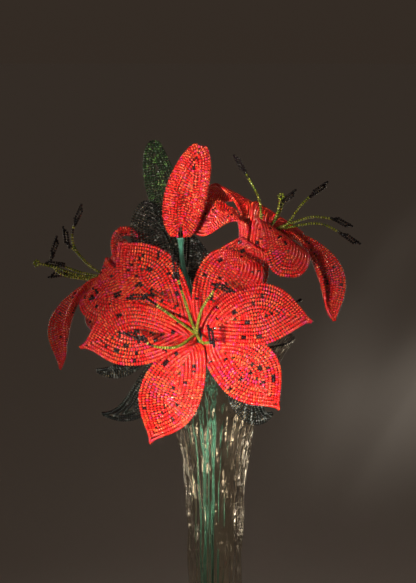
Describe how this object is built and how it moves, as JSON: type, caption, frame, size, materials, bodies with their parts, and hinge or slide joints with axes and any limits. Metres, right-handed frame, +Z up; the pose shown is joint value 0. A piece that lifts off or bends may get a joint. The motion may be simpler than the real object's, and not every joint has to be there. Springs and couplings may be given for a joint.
{
  "type": "beaded tiger lily arrangement in a glass vase",
  "caption": "Tiger lilies wound from rows of glass seed beads on wire, with a bud and beaded leaves, on taped stems in a tall fluted trumpet vase of clear glass.",
  "frame": {"origin": "centre of the underside of the vase's foot", "axes": "+Z up the vase, -Y towards the front bloom, +X towards the right-hand bloom"},
  "size_m": [0.1753, 0.1561, 0.3422],
  "materials": {
    "tepal_beads": "glossy orange-red glass seed beads with pink lights and black spots, in rows on wire",
    "leaf_beads": "glossy dark green and black glass seed beads, in rows on wire",
    "stamen_beads": "glossy olive-gold glass seed beads strung on wire, with dark anther loops",
    "stem_tape": "waxed green floral tape, wound in overlapping turns",
    "clear_glass": "clear blown glass with fine upright ripples"
  },
  "bodies": {
    "root": {"glass_vase": "clear_glass", "front_stem": "stem_tape", "front_stamens": "stamen_beads", "front_tepal_1": "tepal_beads", "front_tepal_2": "tepal_beads", "front_tepal_3": "tepal_beads", "front_tepal_4": "tepal_beads", "front_tepal_5": "tepal_beads", "front_tepal_6": "tepal_beads", "left_stem": "stem_tape", "left_stamens": "stamen_beads", "left_tepal_1": "tepal_beads", "left_tepal_2": "tepal_beads", "left_tepal_3": "tepal_beads", "left_tepal_4": "tepal_beads", "left_tepal_5": "tepal_beads", "left_tepal_6": "tepal_beads", "right_stem": "stem_tape", "right_stamens": "stamen_beads", "right_tepal_1": "tepal_beads", "right_tepal_2": "tepal_beads", "right_tepal_3": "tepal_beads", "right_tepal_4": "tepal_beads", "right_tepal_5": "tepal_beads", "right_tepal_6": "tepal_beads", "bud_stem": "stem_tape", "bud_petal_1": "tepal_beads", "bud_petal_2": "tepal_beads", "bud_petal_3": "tepal_beads", "leaf_1": "leaf_beads", "leaf_2": "leaf_beads", "leaf_3": "leaf_beads", "leaf_4": "leaf_beads", "leaf_5": "leaf_beads", "leaf_6": "leaf_beads", "leaf_7": "leaf_beads"}
  },
  "joints": []
}
